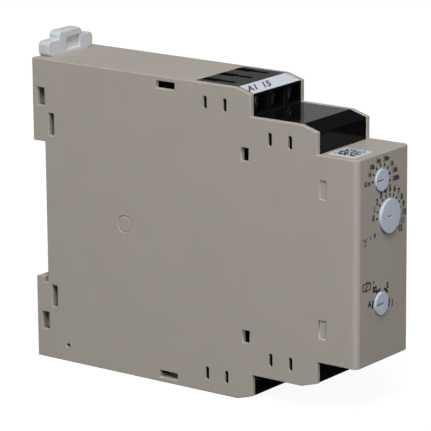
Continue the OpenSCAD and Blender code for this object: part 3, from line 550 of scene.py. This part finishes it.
# Printed scales on the front panel: a fan of thin bars round a centre, from one angle clockwise
def buildScaleTicks():
    tree, start, end = newTree("scaleTicks", [
        ("Count", "NodeSocketInt", 8), ("Centre", "NodeSocketVector", (0, 0, 0)),
        ("Radius", "NodeSocketFloat", 0.004), ("First", "NodeSocketFloat", 3.1),
        ("Step", "NodeSocketFloat", 0.4),
        ("Length", "NodeSocketFloat", 0.0006), ("Width", "NodeSocketFloat", 0.0002),
        ("Depth", "NodeSocketFloat", 0.00003)])
    out = start.outputs

    def mathOf(operation, first, second):
        node = tree.nodes.new("ShaderNodeMath")
        node.operation = operation
        for index, value in enumerate((first, second)):
            if isinstance(value, (int, float)):
                node.inputs[index].default_value = value
            elif value is not None:
                tree.links.new(value, node.inputs[index])
        return node.outputs[0]

    points = tree.nodes.new("GeometryNodePoints")
    tree.links.new(out["Count"], points.inputs["Count"])
    index = tree.nodes.new("GeometryNodeInputIndex").outputs[0]
    angle = mathOf("SUBTRACT", out["First"], mathOf("MULTIPLY", index, out["Step"]))
    across = mathOf("MULTIPLY", mathOf("COSINE", angle, None), out["Radius"])
    upward = mathOf("MULTIPLY", mathOf("SINE", angle, None), out["Radius"])
    spot = tree.nodes.new("ShaderNodeCombineXYZ")
    tree.links.new(across, spot.inputs["X"])
    tree.links.new(upward, spot.inputs["Z"])
    shift = tree.nodes.new("ShaderNodeVectorMath")
    tree.links.new(spot.outputs[0], shift.inputs[0])
    tree.links.new(out["Centre"], shift.inputs[1])
    place = tree.nodes.new("GeometryNodeSetPosition")
    tree.links.new(points.outputs[0], place.inputs["Geometry"])
    tree.links.new(shift.outputs[0], place.inputs["Position"])
    size = tree.nodes.new("ShaderNodeCombineXYZ")
    tree.links.new(out["Length"], size.inputs["X"])
    tree.links.new(out["Depth"], size.inputs["Y"])
    tree.links.new(out["Width"], size.inputs["Z"])
    bar = tree.nodes.new("GeometryNodeMeshCube")
    tree.links.new(size.outputs[0], bar.inputs["Size"])
    turn = tree.nodes.new("ShaderNodeCombineXYZ")
    tree.links.new(mathOf("MULTIPLY", angle, -1.0), turn.inputs["Y"])
    copies = tree.nodes.new("GeometryNodeInstanceOnPoints")
    tree.links.new(place.outputs[0], copies.inputs["Points"])
    tree.links.new(bar.outputs["Mesh"], copies.inputs["Instance"])
    tree.links.new(turn.outputs[0], copies.inputs["Rotation"])
    endTree(tree, copies.outputs[0], end, materials["printInk"])
    return tree


# labels are (words, angle in degrees from +X, radius in mm) round each dial
printing = {
    "depth": 0.02, "tickWidth": 0.5,
    "range": dict(node="range_dial", size=1.75, first=178, step=27.3, tick=3.72, tickLength=0.85,
                  labels=[("0.1s", 179, 6.0), ("1s", 156, 5.5), ("10s", 136, 5.6), ("1m", 105, 5.1),
                          ("10m", 67, 5.3), ("1h", 35, 5.5), ("10h", 12.6, 6.0), ("100h", -7, 6.35)]),
    "time": dict(node="time_dial", size=2.1, first=178, step=18.6, tick=5.1, tickLength=0.8,
                 labels=[(str(n), 175 - 17.9 * n, 6.65) for n in range(13)]),
    "mode": dict(node="mode_dial", size=2.0, arcs=(171.5, 108, 51.5, -8.5), arc=3.65, arcWidth=0.6, sweep=32,
                 labels=[("A", 170, 4.95), ("B2", 123, 4.85), ("E", 53, 4.8), ("J", -10, 5.1)]),
}
inkY = frontY - printing["depth"] * mm / 2
scaleTicks = buildScaleTicks()


def dialCentre(name):
    low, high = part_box(name)
    return Vector(((low.x + high.x) / 2, inkY, (low.z + high.z) / 2))


panelTurn = Matrix.Rotation(math.radians(90), 4, "X")


def printedText(words, spot, size, squeeze=0.85, facing=panelTurn, bold=0.048):
    curve = bpy.data.curves.new("lettering", "FONT")
    curve.body = words
    curve.size = size * mm
    curve.align_x = "CENTER"
    curve.align_y = "CENTER"
    curve.extrude = printing["depth"] * mm / 2
    curve.offset = bold * size * mm
    curve.resolution_u = 3
    text = bpy.data.objects.new("lettering", curve)
    scene.collection.objects.link(text)
    graph = bpy.context.evaluated_depsgraph_get()
    mesh = bpy.data.meshes.new_from_object(text.evaluated_get(graph))
    bpy.data.objects.remove(text)
    mesh.transform(Matrix.Translation(spot) @ facing @ Matrix.Diagonal((squeeze, 1, 1, 1)))
    mesh.materials.clear()
    mesh.materials.append(materials["printInk"])
    return link(mesh, "lettering")


def printedShape(outline):
    # a thin prism standing on the panel, from (x, z) points in metres
    shape = bmesh.new()
    depth = printing["depth"] * mm
    front = [shape.verts.new((x, inkY - depth / 2, z)) for x, z in outline]
    back = [shape.verts.new((x, inkY + depth / 2, z)) for x, z in outline]
    shape.faces.new(front)
    shape.faces.new(back[::-1])
    for i in range(len(outline)):
        j = (i + 1) % len(outline)
        shape.faces.new((front[j], front[i], back[i], back[j]))
    bmesh.ops.recalc_face_normals(shape, faces=shape.faces)
    mesh = bpy.data.meshes.new("mark")
    shape.to_mesh(mesh)
    shape.free()
    mesh.materials.append(materials["printInk"])
    return link(mesh, "mark")


def printedStroke(x0, z0, x1, z1, width):
    along = Vector((x1 - x0, z1 - z0)).normalized()
    side = Vector((-along.y, along.x)) * width / 2
    return printedShape([(x0 + side.x, z0 + side.y), (x1 + side.x, z1 + side.y),
                         (x1 - side.x, z1 - side.y), (x0 - side.x, z0 - side.y)])


def printedArc(centre, radius, middle, sweep, width):
    steps = 10
    angles = [math.radians(middle - sweep / 2 + sweep * i / steps) for i in range(steps + 1)]
    outer = [(centre.x + (radius + width / 2) * math.cos(a), centre.z + (radius + width / 2) * math.sin(a))
             for a in angles]
    inner = [(centre.x + (radius - width / 2) * math.cos(a), centre.z + (radius - width / 2) * math.sin(a))
             for a in reversed(angles)]
    return printedShape(outer + inner)


marks = []
for key in ("range", "time", "mode"):
    dial = printing[key]
    centre = dialCentre(dial["node"])
    for words, degrees, radius in dial["labels"]:
        angle = math.radians(degrees)
        reach = Vector((math.cos(angle), 0, math.sin(angle))) * radius * mm
        marks.append(printedText(words, centre + reach, dial["size"]))
    for degrees in dial.get("arcs", ()):
        marks.append(printedArc(centre, dial["arc"] * mm, degrees, dial["sweep"], dial["arcWidth"] * mm))
    if "tick" in dial:
        marks.append(grow(scaleTicks, key + "Ticks", {
            "Count": len(dial["labels"]), "Centre": centre, "Radius": dial["tick"] * mm,
            "First": math.radians(dial["first"]), "Step": math.radians(dial["step"]),
            "Length": dial["tickLength"] * mm, "Width": printing["tickWidth"] * mm,
            "Depth": printing["depth"] * mm}))


# Contact and coil symbols: strokes from (x, z) to (x, z) in mm off each centre, and how many lines wide
symbols = {
    "line": 0.22,
    "contact": dict(centre=(-7.9, 5.4), strokes=[
        (-1.1, 0.9, 0.1, 0.1, 1), (0.9, 0.7, 0.1, 0.1, 1), (0, 0.2, 0, -1, 1), (-0.5, -1, 0.5, -1, 1),
        (2.2, 1.1, 2.2, 0.1, 1.3)]),
    "coil": dict(centre=(-7.15, -5.9), strokes=[
        (-1.6, -0.85, 1.6, -0.85, 1.35), (1.6, -0.85, 1.6, 0.85, 1.35), (1.6, 0.85, -1.6, 0.85, 1.35),
        (-1.6, 0.85, -1.6, -0.85, 1.35), (-0.8, -0.595, 0.8, 0.595, 1.35), (0, 0.85, 0, 1.4875, 1.35),
        (0, -0.85, 0, -1.4875, 1.35), (2.8, 0.085, 3.28, 0.765, 1.35)]),
    "offMark": dict(words="0", spot=(-3.8, 6.1), size=1.6),
}


def printedSymbol(name):
    x, z = symbols[name]["centre"]
    return [printedStroke((x + x0) * mm, (z + z0) * mm, (x + x1) * mm, (z + z1) * mm,
                          wide * symbols["line"] * mm)
            for x0, z0, x1, z1, wide in symbols[name]["strokes"]]


offMark = symbols["offMark"]
marks += printedSymbol("contact")
marks.append(printedText(offMark["words"], (offMark["spot"][0] * mm, inkY, offMark["spot"][1] * mm),
                         offMark["size"]))
marks += printedSymbol("coil")
frontScales = joined(marks, "frontScales")
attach(frontScales, "case")
print("front scales:", len(frontScales.data.polygons), "faces")


# Markings on the labels: a square of dark cells, kept or dropped at random, that encodes nothing
def buildCodeCells():
    tree, start, end = newTree("codeCells", [
        ("Centre", "NodeSocketVector", (0, 0, 0)), ("Side", "NodeSocketFloat", 0.006),
        ("Count", "NodeSocketInt", 15), ("Share", "NodeSocketFloat", 0.5),
        ("Depth", "NodeSocketFloat", 0.00002), ("Seed", "NodeSocketInt", 3)])
    out = start.outputs
    grid = tree.nodes.new("GeometryNodeMeshGrid")
    for axis in ("X", "Y"):
        tree.links.new(out["Side"], grid.inputs["Size " + axis])
        tree.links.new(out["Count"], grid.inputs["Vertices " + axis])
    chosen = tree.nodes.new("FunctionNodeRandomValue")
    chosen.data_type = "BOOLEAN"
    tree.links.new(out["Share"], chosen.inputs["Probability"])
    tree.links.new(out["Seed"], chosen.inputs["Seed"])
    pitch = tree.nodes.new("ShaderNodeMath")
    pitch.operation = "DIVIDE"
    tree.links.new(out["Side"], pitch.inputs[0])
    tree.links.new(out["Count"], pitch.inputs[1])
    size = tree.nodes.new("ShaderNodeCombineXYZ")
    tree.links.new(pitch.outputs[0], size.inputs["X"])
    tree.links.new(pitch.outputs[0], size.inputs["Y"])
    tree.links.new(out["Depth"], size.inputs["Z"])
    cell = tree.nodes.new("GeometryNodeMeshCube")
    tree.links.new(size.outputs[0], cell.inputs["Size"])
    copies = tree.nodes.new("GeometryNodeInstanceOnPoints")
    tree.links.new(grid.outputs["Mesh"], copies.inputs["Points"])
    tree.links.new(chosen.outputs[3], copies.inputs["Selection"])
    tree.links.new(cell.outputs["Mesh"], copies.inputs["Instance"])
    moved = tree.nodes.new("GeometryNodeTransform")
    tree.links.new(copies.outputs[0], moved.inputs["Geometry"])
    tree.links.new(out["Centre"], moved.inputs["Translation"])
    endTree(tree, moved.outputs[0], end, materials["printInk"])
    return tree


codeSettings = dict(side=5.5, count=13, share=0.6, seed=4)
codeLow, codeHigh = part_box("code_label")
codeCells = grow(buildCodeCells(), "codeCells", {
    "Centre": Vector(((codeLow.x + codeHigh.x) / 2, (codeLow.y + codeHigh.y) / 2, codeHigh.z)),
    "Side": codeSettings["side"] * mm, "Count": codeSettings["count"], "Share": codeSettings["share"],
    "Depth": printing["depth"] * mm, "Seed": codeSettings["seed"]})
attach(codeCells, "case")

# terminal numbers on the sloping label; the third place is blank
terminalMarks = dict(size=3.5, angle=16.03, thickness=0.15, lean=0.8, squeeze=1.05, bold=0.022,
                     words=(("A1", -7.1), ("15", -1.5)))
labelLow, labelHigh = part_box("terminal_label_top")
slopeTurn = Matrix.Rotation(math.radians(terminalMarks["angle"]), 4, "X")
leaning = slopeTurn @ Matrix(((1, terminalMarks["lean"], 0, 0), (0, 1, 0, 0), (0, 0, 1, 0), (0, 0, 0, 1)))
labelTop = (labelLow + labelHigh) / 2 + slopeTurn.col[2].to_3d() * terminalMarks["thickness"] / 2 * mm
terminalNumbers = joined([
    printedText(words, labelTop + Vector((x * mm, 0, 0)), terminalMarks["size"],
                squeeze=terminalMarks["squeeze"], facing=leaning, bold=terminalMarks["bold"])
    for words, x in terminalMarks["words"]], "terminalNumbers")
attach(terminalNumbers, "case")
print("label markings:", len(codeCells.data.polygons) + len(terminalNumbers.data.polygons), "faces")


# The latch spring and the turns of both windings: a round wire along a helix that climbs Z from the origin
def buildHelix():
    tree, start, end = newTree("helix", [
        ("Turns", "NodeSocketFloat", 8.0), ("Radius", "NodeSocketFloat", 0.001),
        ("Height", "NodeSocketFloat", 0.008),
        ("Wire", "NodeSocketFloat", 0.00015), ("Start", "NodeSocketVector", (0, 0, 0)),
        ("Facing", "NodeSocketVector", (0, 0, 0)), ("Steps", "NodeSocketInt", 24)])
    out = start.outputs
    spiral = tree.nodes.new("GeometryNodeCurveSpiral")
    for label, source in (("Resolution", "Steps"), ("Rotations", "Turns"), ("Start Radius", "Radius"),
                          ("End Radius", "Radius"), ("Height", "Height")):
        tree.links.new(out[source], spiral.inputs[label])
    ring = tree.nodes.new("GeometryNodeCurvePrimitiveCircle")
    ring.inputs["Resolution"].default_value = 8
    tree.links.new(out["Wire"], ring.inputs["Radius"])
    sweep = tree.nodes.new("GeometryNodeCurveToMesh")
    sweep.inputs["Fill Caps"].default_value = True
    tree.links.new(spiral.outputs[0], sweep.inputs["Curve"])
    tree.links.new(ring.outputs[0], sweep.inputs["Profile Curve"])
    moved = tree.nodes.new("GeometryNodeTransform")
    tree.links.new(sweep.outputs[0], moved.inputs["Geometry"])
    tree.links.new(out["Start"], moved.inputs["Translation"])
    tree.links.new(out["Facing"], moved.inputs["Rotation"])
    endTree(tree, moved.outputs[0], end, materials["springWire"])
    return tree


helixTree = buildHelix()
springSettings = dict(wire=0.15, turns=8.0, steps=20, anchor=0.0301, keep=0.611)
springLow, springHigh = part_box("latch_spring")
springMiddle = (springLow + springHigh) / 2
springWire = springSettings["wire"] * mm
latchCoil = grow(helixTree, "latchCoil", {
    "Turns": springSettings["turns"], "Radius": springHigh.x - springMiddle.x - springWire,
    "Height": springHigh.z - springLow.z - 2 * springWire, "Wire": springWire,
    "Start": Vector((springMiddle.x, springMiddle.y, springLow.z + springWire)),
    "Steps": springSettings["steps"]})
setSharp(latchCoil.data, 60)
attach(latchCoil, bodyOf["latch_spring"])
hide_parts("latch_spring")
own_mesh(latchCoil)

# turns of wire on the outside of each winding; spacing is the pitch over the wire's radius
windings = dict(
    relay_winding=dict(name="relayTurns", wire=0.11, spacing=2.1, steps=40),
    transformer_winding=dict(name="transformerTurns", wire=0.13, spacing=2.1, steps=40))
for node, settings in windings.items():
    low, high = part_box(node)
    wire = settings["wire"] * mm
    length = high.x - low.x - 2 * wire
    turns = grow(helixTree, settings["name"], {
        "Turns": length / (settings["spacing"] * wire), "Radius": (high.z - low.z) / 2,
        "Height": length, "Wire": wire,
        "Start": Vector((low.x + wire, (low.y + high.y) / 2, (low.z + high.z) / 2)),
        "Facing": Vector((0, math.radians(90), 0)), "Steps": settings["steps"]})
    turns.data.materials[0] = materials["enamelWire"]
    setSharp(turns.data, 60)
    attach(turns, bodyOf[node])
print("coils:", len(latchCoil.data.polygons), "faces in the spring")


# camera, stage and lamps

shot = dict(lens=256.8, sensor=36.0, azimuth=-53.16, elevation=14.45, roll=-0.464,
            place=(-0.59726, -0.49322, 0.19519))


def makeCamera():
    data = bpy.data.cameras.new("camera")
    data.lens = shot["lens"]
    data.sensor_width = shot["sensor"]
    data.clip_start, data.clip_end = 0.01, 50
    camera = bpy.data.objects.new("camera", data)
    scene.collection.objects.link(camera)
    a, e, r = (math.radians(shot[k]) for k in ("azimuth", "elevation", "roll"))
    back = Vector((math.sin(a) * math.cos(e), -math.cos(a) * math.cos(e), math.sin(e)))
    right = Vector((math.cos(a), math.sin(a), 0))
    up = back.cross(right)
    turnedRight = right * math.cos(r) + up * math.sin(r)
    turnedUp = up * math.cos(r) - right * math.sin(r)
    frameOf = Matrix((turnedRight, turnedUp, back)).transposed().to_4x4()
    camera.matrix_world = Matrix.Translation(shot["place"]) @ frameOf
    scene.camera = camera


# metres along Y; a row at flat keeps the floor's shading even, and the floor bends up from bend
backdrop = dict(half=6.0, flat=0.8, bend=1.6, radius=1.2, wall=3.0, steps=12, glow=0.93, grey=0.15)


def makeStage():
    # a floor that curves up into a backdrop, far larger than the part
    half, bend, radius, wall, steps = (backdrop[k] for k in ("half", "bend", "radius", "wall", "steps"))
    floorZ = cadLow.z
    shape = bmesh.new()
    profile = [(-half, floorZ), (backdrop["flat"], floorZ)]
    for i in range(steps + 1):
        angle = math.radians(90 * i / steps)
        profile.append((bend + radius * math.sin(angle), floorZ + radius * (1 - math.cos(angle))))
    profile.append((bend + radius, floorZ + wall))
    rows = [[shape.verts.new((side * half, depth, height)) for side in (-1, 1)] for depth, height in profile]
    for first, second in zip(rows, rows[1:]):
        shape.faces.new((first[0], first[1], second[1], second[0]))
    mesh = bpy.data.meshes.new("stage")
    shape.to_mesh(mesh)
    shape.free()
    mesh.shade_smooth()
    grey = backdrop["grey"]
    material, _, shader = newMaterial("stagePaper", Roughness=1.0, Base_Color=(grey, grey, grey, 1),
                                      Specular_IOR_Level=0.0)
    shader.inputs["Emission Color"].default_value = (1, 1, 1, 1)
    shader.inputs["Emission Strength"].default_value = backdrop["glow"]
    mesh.materials.append(material)
    floor = link(mesh, "stage")
    floor.visible_glossy = False
    floor.visible_diffuse = False
    floor.visible_transmission = False
    floor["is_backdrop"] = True


studio = dict(
    dark=0.04, band=0.42, bandDirection=(0.8, 0.6, 0.0),
    # each pair is where the band starts to fade in and where it is full
    behind=(-0.1, 0.5), below=(0.38, 0.3), above=(-0.1, 0.02), target=(0, -0.045, 0),
    lamps=[
        # name, direction from the part, distance, size, power
        ("key", (-0.50, -0.30, 0.81), 1.3, 0.7, 16.9),
        ("side", (-0.93, 0.25, 0.27), 1.5, 0.8, 3.5),
        ("front", (-0.4, -0.88, 0.25), 1.5, 0.5, 6.1),
        ("rear", (0.78, 0.6, 0.15), 1.5, 0.8, 5.0),
    ])


def makeLights():
    # a dark room with a pale band low behind the part, as a polished surface would mirror it
    world = bpy.data.worlds.new("studio")
    scene.world = world
    world.use_nodes = True
    tree = world.node_tree
    background = tree.nodes["Background"]
    direction = addNode(tree, "ShaderNodeTexCoord").outputs["Generated"]
    parts = addNode(tree, "ShaderNodeSeparateXYZ")
    tree.links.new(direction, parts.inputs[0])
    facing = addNode(tree, "ShaderNodeVectorMath", operation="DOT_PRODUCT")
    facing.inputs[1].default_value = studio["bandDirection"]
    tree.links.new(direction, facing.inputs[0])
    fades = []
    for edge, source in (("behind", facing.outputs["Value"]), ("below", parts.outputs["Z"]),
                         ("above", parts.outputs["Z"])):
        fade = addNode(tree, "ShaderNodeMapRange", interpolation_type="SMOOTHSTEP")
        fade.inputs["From Min"].default_value, fade.inputs["From Max"].default_value = studio[edge]
        tree.links.new(source, fade.inputs["Value"])
        fades.append(fade.outputs[0])
    band = addMath(tree, "MULTIPLY", addMath(tree, "MULTIPLY", fades[0], fades[1]), fades[2])
    strength = addMath(tree, "ADD", addMath(tree, "MULTIPLY", band, studio["band"]), studio["dark"])
    tree.links.new(strength, background.inputs["Strength"])
    background.inputs["Color"].default_value = (1, 1, 1, 1)
    target = Vector(studio["target"])
    for name, direction, distance, size, power in studio["lamps"]:
        data = bpy.data.lights.new(name, "AREA")
        data.shape = "SQUARE"
        data.size = size
        data.energy = power
        lamp = bpy.data.objects.new(name, data)
        scene.collection.objects.link(lamp)
        away = Vector(direction).normalized()
        lamp.location = target + away * distance
        lamp.visible_glossy = name != "rear"
        lamp.rotation_mode = "QUATERNION"
        lamp.rotation_quaternion = (-away).to_track_quat("-Z", "Y")


makeCamera()
makeStage()
makeLights()

low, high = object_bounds()
print("camera, stage and", len(studio["lamps"]), "lamps")
print("size:", [round(v / mm, 2) for v in high - low])
